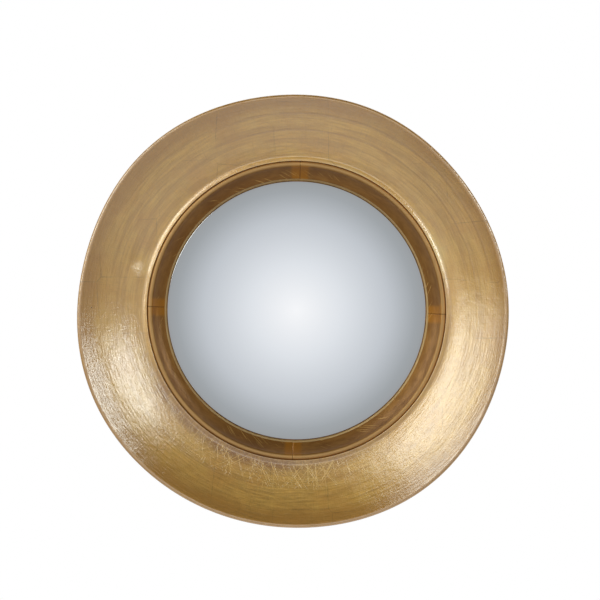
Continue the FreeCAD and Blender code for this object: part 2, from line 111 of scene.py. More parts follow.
GLASS_RADIUS = 190 * MM
GLASS_CURVE = 800 * MM
GLASS_THICK = 3 * MM
BEVEL_WIDTH = 9 * MM        # the solids have 10.5 mm at 8 degrees, which ends at the same edge
BEVEL_TILT = math.radians(9.1)
BEVEL_ROUND = 0.6 * MM      # half width of the rounding where the bevel meets the dome
GLASS_APEX = -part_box("mirror_glass")[0].y
GLASS_EDGE_BACK = -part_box("mirror_glass")[1].y
GLASS_BACK_CURVE = GLASS_CURVE - GLASS_THICK
GLASS_BACK_APEX = GLASS_APEX - GLASS_THICK


# ---------------------------------------------------------------------------------------------
# Meshes of revolution
# ---------------------------------------------------------------------------------------------

def rim_radius(angle):
    """Outer radius of the hand-formed outline; angle in radians, one number or an array."""
    radius = RIM_RADIUS + RIM_SHIFT_X * np.cos(angle) + RIM_SHIFT_Z * np.sin(angle)
    for count, height, crest in RIM_WAVES:
        radius = radius + height * np.cos(count * (angle - math.radians(crest)))
    return radius


def bow(start, end, depth, count):
    """Points from start towards end, end left out, on an arc that bows out to the right by depth."""
    (r0, h0), (r1, h1) = start, end
    run, rise = r1 - r0, h1 - h0
    chord = np.hypot(run, rise)
    half = 2 * np.arctan(2 * depth / chord)
    flat = np.abs(half) < 1e-6
    radius = chord / (2 * np.sin(np.where(flat, 1.0, half)))
    points = []
    for t in np.arange(count) / count:
        turn = half * (2 * t - 1)
        along = np.where(flat, t * chord, radius * np.sin(turn) + chord / 2)
        out = np.where(flat, 0.0, radius * (np.cos(turn) - np.cos(half)))
        points.append((r0 + (along * run + out * rise) / chord, h0 + (along * rise - out * run) / chord))
    return points


def swell(start, end, start_slope):
    """How far an arc from start to end bows out if it leaves start at that slope."""
    run, rise = end[0] - start[0], end[1] - start[1]
    return np.hypot(run, rise) / 2 * np.tan((np.arctan2(rise, run) - start_slope) / 2)


def smooth_noise(angle, along, seed, waves, length):
    """Gentle unevenness, repeatable: a few sine waves round the ring and across it, about -1 to 1."""
    rng = np.random.default_rng(seed)
    total = np.zeros(np.broadcast(angle, along).shape)
    for _ in range(waves):
        around = rng.integers(2, 12)
        across = rng.uniform(0.3, 1.0) / length
        phase_a, phase_b = rng.uniform(0, 2 * math.pi, 2)
        total += np.sin(around * angle + phase_a) * np.cos(2 * math.pi * across * along + phase_b)
    return total / math.sqrt(waves)


def mesh_from_grid(name, points, around_closed, across_closed, caps=False, poles=()):
    """A smooth mesh through a grid of points, indexed [round the axis][across the section].

    caps closes the two ends of a part turn; poles are the points on the axis, where a full turn's
    section starts and ends.
    """
    steps, rows = points.shape[:2]
    index = np.arange(steps * rows).reshape(steps, rows)
    next_around = np.roll(index, -1, 0) if around_closed else index[1:]
    here = index if around_closed else index[:-1]
    if across_closed:
        quads = np.stack([here, np.roll(here, -1, 1), np.roll(next_around, -1, 1), next_around], -1)
    else:
        quads = np.stack([here[:, :-1], here[:, 1:], next_around[:, 1:], next_around[:, :-1]], -1)
    faces = [tuple(map(int, f)) for f in quads.reshape(-1, 4)]
    if caps:
        faces += [tuple(map(int, index[0][::-1])), tuple(map(int, index[-1]))]
    if poles:
        first, last = index.size, index.size + 1
        faces += [(first, int(a), int(b)) for a, b in zip(index[:, 0], next_around[:, 0])]
        faces += [(last, int(b), int(a)) for a, b in zip(index[:, -1], next_around[:, -1])]
    mesh = bpy.data.meshes.new(name)
    mesh.from_pydata([tuple(p) for p in points.reshape(-1, 3)] + list(poles), [], faces)
    mesh.polygons.foreach_set("use_smooth", [len(f) <= 4 for f in faces])
    mesh.update()
    made = bpy.data.objects.new(name, mesh)
    bpy.context.scene.collection.objects.link(made)
    return made


def revolve(section, angles):
    """Grid of 3-D points for a section [(r, h), ...] whose r and h may vary with the angle."""
    r = np.stack([np.broadcast_to(p[0], angles.shape) for p in section], 1)
    h = np.stack([np.broadcast_to(p[1], angles.shape) for p in section], 1)
    return np.stack([r * np.cos(angles)[:, None], -h, r * np.sin(angles)[:, None]], -1)


def add_value(piece, name, grid):
    """Stores one number per vertex for the piece's material."""
    values = piece.data.attributes.new(name, "FLOAT", "POINT").data
    values.foreach_set("value", grid.astype(np.float32).ravel())


# ---------------------------------------------------------------------------------------------
# Front ring
# ---------------------------------------------------------------------------------------------

RING_STEPS = 960
UNEVEN = 0.16 * MM          # how far the hand-worked scoop strays from its true section
TOOL_RIDGE = 0.018 * MM     # turning ridges that follow the ring round
# A knock beside the lip at the upper left: it rises on one side and sinks on the other
KNOCK_ANGLE = math.radians(164.5)
KNOCK_RADIUS = 228 * MM
KNOCK_SLOPE = 0.17          # how steeply it turns from low to high at its centre
KNOCK_LENGTH = 25 * MM      # round the ring
KNOCK_WIDTH = 13 * MM       # across it
KNOCK_ON_LIP = 0.5          # share of it that the lip takes
PAINT_LAP = 8               # rows past the rim's side in which the leaf gives way to the paint
# Parts of the section, counted from the inner wall outwards and round to the back
CROWN_PART, VALLEY_PART, SCOOP_PART, NOSE_PART, UNDERSIDE_PART = 2, 3, 4, 7, 9


def end_slope(start, end, start_slope):
    """Slope at its end of the arc from start to end that leaves start at that slope."""
    return 2 * np.arctan2(end[1] - start[1], end[0] - start[0]) - start_slope


def lip_parts():
    """Inner wall, rounding, crown of the lip and the fillet in the valley."""
    wall_top = (LIP_RADIUS, LIP_HEIGHT - LIP_ROUND)
    lip = (LIP_RADIUS + LIP_ROUND * 0.8, LIP_HEIGHT - LIP_ROUND * 0.12)
    fillet_turn = VALLEY_INNER_SLOPE + VALLEY_OUTER_SLOPE
    return [
        bow((LIP_RADIUS, BACK_RING_FRONT), wall_top, 0.0, 6),
        bow(wall_top, lip, -LIP_ROUND * 0.3, 6),
        bow(lip, LIP_FOOT, -LIP_CROWN, 10),
        bow(LIP_FOOT, SCOOP_START, VALLEY_FILLET * (1 - math.cos(fillet_turn / 2)), 10),
    ]


def scoop_parts(rim):
    """Three arcs of the scoop and the rounded nose of the rim; rim is the outer radius."""
    stretch = (rim - SCOOP_START[0]) / (RIM_RADIUS - SCOOP_START[0])
    inner_end = (SCOOP_START[0] + SCOOP_INNER_WIDTH * stretch, SCOOP_START[1] + SCOOP_INNER_RISE)
    middle_end = (inner_end[0] + SCOOP_MIDDLE_WIDTH * stretch, inner_end[1] + SCOOP_MIDDLE_RISE)
    middle_slope = end_slope(SCOOP_START, inner_end, VALLEY_OUTER_SLOPE)
    outer_slope = end_slope(inner_end, middle_end, middle_slope)
    nose_centre = (rim - RIM_NOSE_RADIUS, RIM_TOP - RIM_NOSE_RADIUS)
    shoulder = end_slope(middle_end, (nose_centre[0], RIM_TOP), outer_slope)
    nose_start = (nose_centre[0] - RIM_NOSE_RADIUS * np.sin(shoulder),
                  nose_centre[1] + RIM_NOSE_RADIUS * np.cos(shoulder))
    nose_bow = -RIM_NOSE_RADIUS * (1 - np.cos((math.pi / 2 + shoulder) / 2))
    return [
        bow(SCOOP_START, inner_end, swell(SCOOP_START, inner_end, VALLEY_OUTER_SLOPE), 22),
        bow(inner_end, middle_end, swell(inner_end, middle_end, middle_slope), 26),
        bow(middle_end, nose_start, swell(middle_end, nose_start, outer_slope), 22),
        bow(nose_start, (rim, nose_centre[1]), nose_bow, 14),
    ]


def side_parts(rim):
    """Side of the rim, its lower rounding, the hollow underside and the seat on the back ring."""
    side_top = (rim, RIM_TOP - RIM_NOSE_RADIUS)
    side = (rim - RIM_SIDE_TAPER, side_top[1] - RIM_SIDE)
    side_low = (side[0], side[1] + RIM_SIDE_ROUND)
    under_start = (side[0] - RIM_SIDE_ROUND * 0.7, side[1] - RIM_SIDE_ROUND * 0.9)
    heel = (HEEL_RADIUS, BACK_RING_FRONT)
    return [
        bow(side_top, side_low, 0.0, 5),
        bow(side_low, under_start, -RIM_SIDE_ROUND * 0.4, 5),
        bow(under_start, heel, UNDERSIDE_HOLLOW, 16),
        bow(heel, (LIP_RADIUS, BACK_RING_FRONT), 0.0, 8),
    ]


def hand_work(angles, radius, rows):
    """How far the face worked by hand stands above the true section; its ends stay in place."""
    first, last = rows[SCOOP_PART], rows[NOSE_PART]
    scoop = np.zeros(radius.shape[1])
    scoop[first:last] = np.sin(math.pi * (np.arange(last - first) + 0.5) / (last - first)) ** 0.5
    uneven = UNEVEN * smooth_noise(angles, radius, 11, 9, 90 * MM)
    ridges = TOOL_RIDGE * smooth_noise(angles * 0.34, radius, 5, 7, 9 * MM)
    along = radius * (angles - KNOCK_ANGLE)
    across = radius - KNOCK_RADIUS
    knock = KNOCK_SLOPE * along * np.exp(-(along / KNOCK_LENGTH) ** 2 - (across / KNOCK_WIDTH) ** 2)
    knock[:, :rows[VALLEY_PART]] *= KNOCK_ON_LIP
    knock[:, last:] = 0
    knock[:, :rows[CROWN_PART]] = 0
    return (uneven + ridges) * scoop + knock


def front_ring():
    angles = np.arange(RING_STEPS) * 2 * math.pi / RING_STEPS
    rim = rim_radius(angles)
    parts = lip_parts() + scoop_parts(rim) + side_parts(rim)
    rows = np.cumsum([0] + [len(part) for part in parts])
    points = revolve([p for part in parts for p in part], angles)
    radius = np.hypot(points[..., 0], points[..., 2])
    points[..., 1] -= hand_work(angles[:, None], radius, rows)

    made = mesh_from_grid("gilded_front_ring", points, True, True)
    underside = rows[UNDERSIDE_PART]
    leaf = np.zeros(points.shape[:2])
    leaf[:, :underside] = 1
    leaf[:, underside:underside + PAINT_LAP] = np.linspace(1.0, 0.0, PAINT_LAP)
    add_value(made, "leaf", leaf)
    slots = np.zeros(points.shape[:2], int)
    slots[:, underside:] = 1
    made.data.polygons.foreach_set("material_index", slots.ravel())
    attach(made, "mirror_body")
    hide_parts("front_ring")
    return made


# ---------------------------------------------------------------------------------------------
# Liner
# ---------------------------------------------------------------------------------------------

LINER_STEPS = 240


def liner_section():
    outer = LIP_RADIUS - LINER_GAP
    bead_r = outer - LINER_BEAD_RADIUS
    bead_h = LIP_HEIGHT - LINER_BELOW_LIP - LINER_BEAD_RADIUS
    side = (outer, bead_h)
    cove_top = (bead_r - LINER_BEAD_RADIUS * math.sin(LINER_BEAD_SLOPE),
                bead_h + LINER_BEAD_RADIUS * math.cos(LINER_BEAD_SLOPE))
    nose_top = (SIGHT_RADIUS + LINER_EDGE_ROUND, WEB_FRONT + LINER_NOSE)
    nose_low = (SIGHT_RADIUS + LINER_EDGE_ROUND, WEB_FRONT)
    bead_turn = math.pi / 2 + LINER_BEAD_SLOPE
    section = bow((outer, WEB_FRONT), side, 0.0, 4)
    section += bow(side, cove_top, LINER_BEAD_RADIUS * (1 - math.cos(bead_turn / 2)), 22)
    section += bow(cove_top, nose_top, -LINER_COVE_DEPTH, 22)
    section += bow(nose_top, nose_low, LINER_EDGE_ROUND, 8)
    section += bow(nose_low, (outer, WEB_FRONT), 0.0, 4)
    return section


def liners():
    joint = LINER_JOINT / SIGHT_RADIUS
    quarter = math.pi / 2
    made = []
    for i, place in enumerate(QUARTERS):
        start = math.radians(LINER_FIRST_JOINT) + i * quarter + joint / 2
        angles = np.linspace(start, start + quarter - joint, LINER_STEPS + 1)
        points = revolve(liner_section(), angles)[:, ::-1]
        piece = mesh_from_grid("lacquered_liner_" + place, points, False, True, caps=True)
        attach(piece, "mirror_body")
        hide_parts("liner_" + place)
        made.append(piece)
    return made


# ---------------------------------------------------------------------------------------------
# Glass
# ---------------------------------------------------------------------------------------------

GLASS_STEPS = 360
POLE_RADIUS = 2.5 * MM      # the domes end in a fan of triangles inside this radius
EDGE_SEAM = 0.4 * MM        # ground arris between the bevel and the edge


def dome(radius, apex, start, end, count):
    """Points from start towards end on a sphere's cap, end left out."""
    r = start + (end - start) * np.arange(count) / count
    return [(x, apex - radius + math.sqrt(radius * radius - x * x)) for x in r]


def glass_section():
    """The glass from its front pole round to its back pole: front, bevel, side and back."""
    bevel_start = GLASS_RADIUS - BEVEL_WIDTH
    slope = math.asin(bevel_start / GLASS_CURVE) + BEVEL_TILT
    before = dome(GLASS_CURVE, GLASS_APEX, bevel_start - BEVEL_ROUND, GLASS_RADIUS, 1)[0]
    shoulder = dome(GLASS_CURVE, GLASS_APEX, bevel_start, GLASS_RADIUS, 1)[0]
    after = (bevel_start + BEVEL_ROUND, shoulder[1] - BEVEL_ROUND * math.tan(slope))
    bevel_end = (GLASS_RADIUS - EDGE_SEAM, shoulder[1] - (BEVEL_WIDTH - EDGE_SEAM) * math.tan(slope))
    edge_top = (GLASS_RADIUS, bevel_end[1] - EDGE_SEAM)
    edge_low = (GLASS_RADIUS, GLASS_EDGE_BACK)
    front = dome(GLASS_CURVE, GLASS_APEX, POLE_RADIUS, before[0], 60)
    bevel = bow(before, after, -BEVEL_ROUND * math.tan(BEVEL_TILT / 4), 8)
    bevel += bow(after, bevel_end, 0.0, 8)
    side = bow(bevel_end, edge_top, 0.0, 2) + bow(edge_top, edge_low, 0.0, 3)
    back = dome(GLASS_BACK_CURVE, GLASS_BACK_APEX, GLASS_RADIUS, POLE_RADIUS, 40)
    back += dome(GLASS_BACK_CURVE, GLASS_BACK_APEX, POLE_RADIUS, 0.0, 1)
    return front, bevel, side, back


def mirror_glass():
    front, bevel, side, back = glass_section()
    section = front + bevel + side + back
    angles = np.arange(GLASS_STEPS) * 2 * math.pi / GLASS_STEPS
    poles = [(0.0, -GLASS_APEX, 0.0), (0.0, -GLASS_BACK_APEX, 0.0)]
    made = mesh_from_grid("silvered_mirror_glass", revolve(section, angles), True, False, poles=poles)
    side_first = len(front) + len(bevel)
    back_first = side_first + len(side)
    slots = np.zeros((GLASS_STEPS, len(section) - 1), int)
    slots[:, side_first:back_first] = 1
    slots[:, back_first:] = 2
    fans = [0] * GLASS_STEPS + [2] * GLASS_STEPS
    made.data.polygons.foreach_set("material_index", slots.ravel().tolist() + fans)
    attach(made, "mirror_body")
    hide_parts("mirror_glass")
    return made


# ---------------------------------------------------------------------------------------------
# Material building
# ---------------------------------------------------------------------------------------------

class Nodes:
    """A node tree under construction. The methods add nodes and return their outputs."""

    def __init__(self, tree):
        self.tree = tree

    def join(self, value, socket):
        if isinstance(value, bpy.types.NodeSocket):
            self.tree.links.new(value, socket)
        elif value is not None:
            socket.default_value = value

    def node(self, kind, *inputs, **settings):
        made = self.tree.nodes.new("ShaderNode" + kind)
        for name, value in settings.items():
            setattr(made, name, value)
        for socket, value in zip(made.inputs, inputs):
            self.join(value, socket)
        return made

    def math(self, operation, a, b=None):
        return self.node("Math", a, b, operation=operation).outputs[0]

    def add(self, *values):
        total = values[0]
        for value in values[1:]:
            total = self.math("ADD", total, value)
        return total

    def times(self, *values):
        total = values[0]
        for value in values[1:]:
            total = self.math("MULTIPLY", total, value)
        return total

    def fade(self, value, start, end, low=0.0, high=1.0):
        """Goes smoothly from low to high as the value goes from start to end."""
        made = self.node("MapRange", value, start, end, low, high, interpolation_type="SMOOTHSTEP")
        return made.outputs[0]

    def window(self, value, low, high, soft):
        """1 between low and high, 0 outside, with soft edges."""
        above = self.fade(value, low - soft, low + soft)
        below = self.fade(value, high + soft, high - soft)
        return self.times(above, below)

    def blend(self, factor, a, b, mode="MIX"):
        made = self.node("Mix", data_type="RGBA", blend_type=mode)
        self.join(factor, made.inputs[0])
        self.join(a, made.inputs[6])
        self.join(b, made.inputs[7])
        return made.outputs[2]

    def layered(self, base, *layers):
        """Lays tints over a base colour one after another; each layer is (amount, tint)."""
        for amount, tint in layers:
            base = self.blend(amount, base, tint)
        return base

    def vector(self, x, y, z):
        return self.node("CombineXYZ", x, y, z).outputs[0]

    def scale(self, vector, x, y, z):
        return self.node("VectorMath", vector, (x, y, z), operation="MULTIPLY").outputs[0]

    def noise(self, vector, scale, detail=3.0, rough=0.5):
        made = self.node("TexNoise")
        self.join(vector, made.inputs["Vector"])
        made.inputs["Scale"].default_value = scale
        made.inputs["Detail"].default_value = detail
        made.inputs["Roughness"].default_value = rough
        return made.outputs["Fac"]

    def cells(self, vector, scale, feature="F1", jitter=1.0):
        made = self.node("TexVoronoi", feature=feature)
        self.join(vector, made.inputs["Vector"])
        made.inputs["Scale"].default_value = scale
        made.inputs["Randomness"].default_value = jitter
        return made.outputs


class Finish(Nodes):
    """A material on the Principled shader."""

    def __init__(self, name, **uniform):
        self.material = bpy.data.materials.new(name)
        self.material.use_nodes = True
        super().__init__(self.material.node_tree)
        self.shader = self.tree.nodes["Principled BSDF"]
        for socket, value in uniform.items():
            self.set(socket.replace("_", " ").title().replace("Ior", "IOR"), value)

    def set(self, socket, value):
        self.join(value, self.shader.inputs[socket])

    def place(self):
        """Place on the piece, in metres."""
        return self.node("TexCoord").outputs["Object"]

    def polar(self):
        """Distance r from the glass axis, unit vector away from it, and the angle from +X."""
        x, y, z = self.node("SeparateXYZ", self.place()).outputs
        r = self.math("SQRT", self.add(self.times(x, x), self.times(z, z)))
        outward = self.vector(self.math("DIVIDE", x, r), 0.0, self.math("DIVIDE", z, r))
        return r, outward, self.math("ARCTAN2", z, x)

    def round_ring(self, r, outward, along, across, twist=0.0):
        """Coordinates that follow the ring: features per radian round it and per metre across it.

        twist leans the pattern, in radians round the ring for each metre outwards.
        """
        if twist:
            made = self.node("VectorRotate", rotation_type="Y_AXIS")
            self.join(outward, made.inputs["Vector"])
            self.join(self.times(r, twist), made.inputs["Angle"])
            outward = made.outputs[0]
        x, _, z = self.node("SeparateXYZ", outward).outputs
        return self.vector(self.times(x, along), self.times(r, across), self.times(z, along))

    def scratches(self, coordinates, rarity):
        """Short thin marks along the direction in which the coordinates are stretched, 0 to 1."""
        return self.fade(self.noise(coordinates, 1.0, 0.0), rarity, rarity + 0.06)

    def specks(self, coordinates, scale, size, channel, rarity):
        """Small specks in a few of a pattern's cells, 0 to 1.

        size is where a speck ends and where it is full, rarity likewise for the cells' own chance,
        which is read from that channel of their colour.
        """
        found = self.cells(coordinates, scale)
        chance = self.node("SeparateColor", found["Color"]).outputs[channel]
        return self.times(self.fade(found["Distance"], *size), self.fade(chance, *rarity))

    def bump(self, height, strength, distance, under=None):
        made = self.node("Bump")
        made.inputs["Strength"].default_value = strength
        made.inputs["Distance"].default_value = distance
        self.join(height, made.inputs["Height"])
        self.join(under, made.inputs["Normal"])
        return made.outputs[0]


def colour(red, green, blue):
    """Linear colour from 0-255 screen values."""
    def linear(value):
        value /= 255
        return value / 12.92 if value <= 0.04045 else ((value + 0.055) / 1.055) ** 2.4
    return linear(red), linear(green), linear(blue), 1.0


# ---------------------------------------------------------------------------------------------
# Gilding
# ---------------------------------------------------------------------------------------------

LEAF_SIZE = 80 * MM
LEAF_STRAY = 0.16           # how far the leaves lie from true squares
SEAM_AMOUNT = 0.32
TONED_FROM = 270 * MM       # the toning lacquer darkens towards the rim from here outwards
TONED_FULL = 290 * MM
TONED_CLOUD = 16 * MM       # how far two of the patterns push its ragged edge about
TONED_STREAK = 8 * MM
SCRATCHED_FROM = 214 * MM   # the low side of the scoop is scratched between these radii
SCRATCHED_TO = 246 * MM
SCRATCHED_ANGLE = math.radians(-100)
SCRATCHED_HALF_WIDTH = math.radians(42)
SCRATCH_LEANS = ((2.6, 0.69), (-4.2, 0.70), (7.5, 0.72))    # (twist, rarity)
SCRATCHED_ELSEWHERE = 0.05
VALLEY_SHADE_ANGLE = math.radians(-115)       # painted shade: darkens the valley there, standing in for the shade that falls in it
VALLEY_SHADE_HALF_WIDTH = math.radians(56)
VALLEY_SHADE_FROM = 206 * MM
VALLEY_SHADE_TO = 225 * MM
# Painted highlights above the lip, where the lamps' reflections fall: (angle, half width, reach
# outwards, strength)
PAINTED_HIGHLIGHTS = ((163.5, 6.0, 40 * MM, 0.2), (23.0, 19.0, 26 * MM, 0.7), (72.0, 16.0, 16 * MM, 0.4))
STRUCK_RINGS = (255 * MM, 277 * MM)     # fine turned lines that show through the leaf at upper right
STRUCK_WIDTH = 2.4 * MM
STRUCK_FROM = math.radians(8)
STRUCK_TO = math.radians(112)
GOLD_RELIEF = 0.25 * MM
HAMMERED_RELIEF = 0.8 * MM


class Gilding(Finish):
    """Brass-coloured leaf over a turned and hand-rubbed ground, toned and lacquered."""

    def __init__(self):
        super().__init__("gold_leaf", coat_weight=1.0, coat_ior=2.6, coat_roughness=0.16)
        self.spot = self.place()
        self.r, self.outward, self.angle = self.polar()
        self.streak = self.noise(self.around(9.0, 420.0), 1.0, 4.0, 0.6)
        self.band = self.noise(self.around(1.6, 110.0), 1.0, 2.0, 0.5)
        self.hair = self.noise(self.around(190.0, 45.0), 1.0, 3.0, 0.6)
        self.fine = self.noise(self.around(60.0, 640.0), 1.0, 2.0, 0.6)
        self.mottle = self.noise(self.spot, 75.0, 5.0, 0.65)
        self.cloud = self.noise(self.spot, 15.0, 4.0, 0.6)
        self.grain = self.noise(self.spot, 900.0, 2.0, 0.5)
        self.hammered = self.noise(self.spot, 44.0, 2.0, 0.5)
        self.scratch = self.scratched()
        self.line = self.struck()
        self.pit = self.specks(self.spot, 38.0, (0.05, 0.02), 1, (0.9, 0.93))
        self.toned = self.toning()

    def around(self, along, across, twist=0.0):
        return self.round_ring(self.r, self.outward, along, across, twist)

    def sector(self, centre, half_width):
        """1 about the centre angle, fading to 0 at half_width from it, with a clouded edge."""
        facing = self.math("COSINE", self.math("SUBTRACT", self.angle, centre))
        clouded = self.add(facing, self.times(self.cloud, 0.25))
        return self.fade(clouded, math.cos(half_width) + 0.05, 1.1)

    def scratched(self):
        """Scratches that cross at several leans, many low on the scoop and few elsewhere."""
        zone = self.times(self.sector(SCRATCHED_ANGLE, SCRATCHED_HALF_WIDTH),
                          self.window(self.r, SCRATCHED_FROM, SCRATCHED_TO, 8 * MM))
        marks = self.scratches(self.around(210.0, 22.0), 0.70)
        for twist, rarity in SCRATCH_LEANS:
            lean = self.scratches(self.around(190.0, 20.0, twist), rarity)
            marks = self.math("MAXIMUM", marks, lean)
        return self.times(marks, self.add(zone, SCRATCHED_ELSEWHERE))

    def struck(self):
        """Fine turned lines that show through the leaf."""
        wander = self.add(self.r, self.times(self.cloud, 6 * MM), self.times(self.streak, 3 * MM))
        total = 0.0
        for radius in STRUCK_RINGS:
            line = self.window(wander, radius, radius + STRUCK_WIDTH, STRUCK_WIDTH / 2)
            total = self.add(total, line)
        return self.times(total, self.window(self.angle, STRUCK_FROM, STRUCK_TO, 0.2))

    def toning(self):
        """Toning lacquer, full at the rim, with a ragged edge."""
        pushed = self.add(self.times(self.cloud, TONED_CLOUD), self.times(self.streak, TONED_STREAK))
        middle = (TONED_CLOUD + TONED_STREAK) / 2
        return self.fade(self.add(self.r, pushed), TONED_FROM + middle, TONED_FULL + middle)

    def leaves(self):
        """Leaves laid square, each a shade apart, with torn edges where they lap: (seam, tone)."""
        flat = self.scale(self.spot, 1.0, 0.0, 1.0)
        edge = self.cells(flat, 1 / LEAF_SIZE, "DISTANCE_TO_EDGE", LEAF_STRAY)["Distance"]
        seam = self.fade(self.add(edge, self.times(self.mottle, 0.03)), 0.012, 0.028, 1.0, 0.0)
        tone = self.cells(flat, 1 / LEAF_SIZE, "F1", LEAF_STRAY)["Color"]
        tone = self.node("SeparateColor", tone).outputs[0]
        return self.times(seam, self.fade(self.cloud, 0.46, 0.58)), tone

    def painted_valley_shade(self):
        """Painted shade in the valley beside the lip, in patches."""
        patchy = self.fade(self.add(self.mottle, self.hair), 0.75, 1.15, 0.5, 1.0)
        return self.times(self.sector(VALLEY_SHADE_ANGLE, VALLEY_SHADE_HALF_WIDTH),
                          self.window(self.r, VALLEY_SHADE_FROM, VALLEY_SHADE_TO, 7 * MM), patchy)

    def brightened(self):
        """Painted highlights: wedges above the lip that are painted bright."""
        total = 0.0
        for centre, half_width, reach, strength in PAINTED_HIGHLIGHTS:
            half = math.radians(half_width)
            aside = self.math("SUBTRACT", self.angle, math.radians(centre))
            slant = self.times(self.math("SUBTRACT", self.r, LIP_RADIUS), half / reach)
            inside = self.fade(self.add(self.math("ABSOLUTE", aside), slant), half, 0.0)
            total = self.add(total, self.times(inside, strength))
        return total

    def tint(self):
        seam, tone = self.leaves()
        base = self.blend(self.fade(self.streak, 0.3, 0.7), colour(230, 182, 90), colour(252, 210, 112))
        self.set("Base Color", self.layered(
            base,
            (self.fade(self.cloud, 0.4, 0.75, 0.0, 0.5), colour(226, 168, 80)),
            (self.fade(tone, 0.0, 1.0, 0.0, 0.16), colour(206, 160, 78)),
            (self.fade(self.band, 0.5, 0.62, 0.0, 0.22), colour(190, 140, 74)),
            (self.fade(self.hair, 0.52, 0.72, 0.0, 0.14), colour(160, 120, 66)),
            (self.times(self.line, 0.4), colour(186, 134, 70)),
            # painted shade darkening the valley
            (self.times(self.painted_valley_shade(), 0.7), colour(156, 98, 32)),
            # painted highlights above the lip
            (self.times(self.brightened(), 0.8), colour(255, 232, 158)),
            (self.times(self.toned, 0.7), colour(204, 152, 66)),
            (self.times(seam, SEAM_AMOUNT), colour(120, 84, 40)),
            (self.times(self.scratch, 0.9), colour(255, 218, 128)),
            (self.times(self.pit, 0.85), colour(60, 42, 24)),
        ))

    def roughen(self):
        self.set("Metallic", self.fade(self.scratch, 0.0, 1.0, 1.0, 0.6))
        rough = self.fade(self.add(self.mottle, self.streak), 0.75, 1.3, 0.56, 0.70)
        rough = self.add(rough, self.times(self.toned, 0.04))
        self.set("Roughness", self.add(rough, self.times(self.scratch, 0.15)))

    def emboss(self):
        """Relief of the leaf and, a little stronger along the ring, of the lacquer over it."""
        relief = self.add(self.times(self.streak, 1.0), self.times(self.fine, 0.5),
                          self.times(self.hair, 0.35), self.times(self.mottle, 0.8),
                          self.times(self.scratch, 0.5), self.times(self.pit, -1.5),
                          self.times(self.line, 0.4), self.times(self.grain, 0.08))
        under = self.bump(self.hammered, 0.8, HAMMERED_RELIEF)
        self.set("Normal", self.bump(relief, 0.9, GOLD_RELIEF, under))
        drag = self.add(self.times(self.streak, 1.2), self.times(self.fine, 0.7),
                        self.times(self.scratch, 0.5), self.times(self.hair, 0.4),
                        self.times(self.mottle, 0.6), self.times(self.line, 0.4),
                        self.times(self.pit, -1.5))
        under = self.bump(self.hammered, 0.5, HAMMERED_RELIEF)
        self.set("Coat Normal", self.bump(drag, 1.0, GOLD_RELIEF, under))


def gold_leaf():
    finish = Gilding()
    finish.tint()
    finish.roughen()
    finish.emboss()
    return finish.material


AMBER_FULL = 0.12           # how far the amber reaches, as the sine of twice the angle from a joint
AMBER_TO = 0.18
BEAD_HIGHLIGHT_FROM = 200.5 * MM      # painted highlight: the bead's lit top is painted lighter than the cove from here outwards
BEAD_HIGHLIGHT_FULL = 203.5 * MM
COVE_RUBBED_FULL = 190 * MM
COVE_RUBBED_TO = 200 * MM


def liner_leaf():
    """The dark lacquered cove: leaf under a heavy brown toning, amber where the lengths butt."""
    finish = Finish("liner_leaf", metallic=0.85, coat_weight=0.25, coat_ior=1.5, coat_roughness=0.3)
    place = finish.place()
    r, outward, angle = finish.polar()
    streak = finish.noise(finish.round_ring(r, outward, 12.0, 300.0), 1.0, 4.0, 0.6)
    mottle = finish.noise(place, 60.0, 4.0, 0.6)
    cloud = finish.noise(place, 18.0, 3.0, 0.5)
    from_joint = finish.math("SUBTRACT", angle, math.radians(LINER_FIRST_JOINT))
    from_joint = finish.math("ABSOLUTE", finish.math("SINE", finish.times(from_joint, 2.0)))
    amber = finish.add(from_joint, finish.times(mottle, 0.06))
    amber = finish.fade(amber, AMBER_FULL, AMBER_TO, 1.0, 0.0)
    butt = finish.fade(from_joint, 0.003, 0.008, 1.0, 0.0)

    brightened = finish.scratches(finish.round_ring(r, outward, 120.0, 60.0, 9.0), 0.70)
    brightened = finish.times(brightened, finish.fade(r, COVE_RUBBED_TO, COVE_RUBBED_FULL),
                          finish.fade(cloud, 0.5, 0.56))
    base = finish.blend(finish.fade(streak, 0.3, 0.7), colour(150, 104, 46), colour(168, 120, 58))
    finish.set("Base Color", finish.layered(
        base,
        (finish.fade(cloud, 0.4, 0.7, 0.0, 0.5), colour(134, 86, 34)),
        (finish.times(amber, 0.9), colour(184, 122, 32)),
        # painted highlight on the bead's lit top
        (finish.fade(r, BEAD_HIGHLIGHT_FROM, BEAD_HIGHLIGHT_FULL, 0.0, 0.8), colour(214, 172, 112)),
        (finish.times(brightened, 0.8), colour(235, 190, 110)),
        (finish.times(butt, 0.3), colour(90, 56, 20)),
    ))
    finish.set("Roughness", finish.fade(mottle, 0.3, 0.7, 0.50, 0.62))
    finish.set("Normal", finish.bump(finish.add(streak, finish.times(mottle, 0.5)), 0.25, 0.2 * MM))
    return finish.material


# ---------------------------------------------------------------------------------------------
# Glass
# ---------------------------------------------------------------------------------------------

def mirror_silver():
    finish = Finish("mirror_silver", metallic=1.0)
    haze = finish.noise(finish.place(), 6.0, 2.0)
    finish.set("Base Color", (0.93, 0.945, 0.95, 1.0))
    finish.set("Roughness", finish.fade(haze, 0.3, 0.7, 0.010, 0.018))
    return finish.material


def glass_edge():
    """Ground edge of the glass, greenish where light comes through it."""
    finish = Finish("glass_edge", coat_weight=0.3)
    ground = finish.noise(finish.place(), 1500.0, 2.0)
    finish.set("Base Color", finish.blend(ground, colour(112, 138, 126), colour(140, 162, 150)))
    finish.set("Roughness", finish.fade(ground, 0.3, 0.7, 0.35, 0.55))
    return finish.material


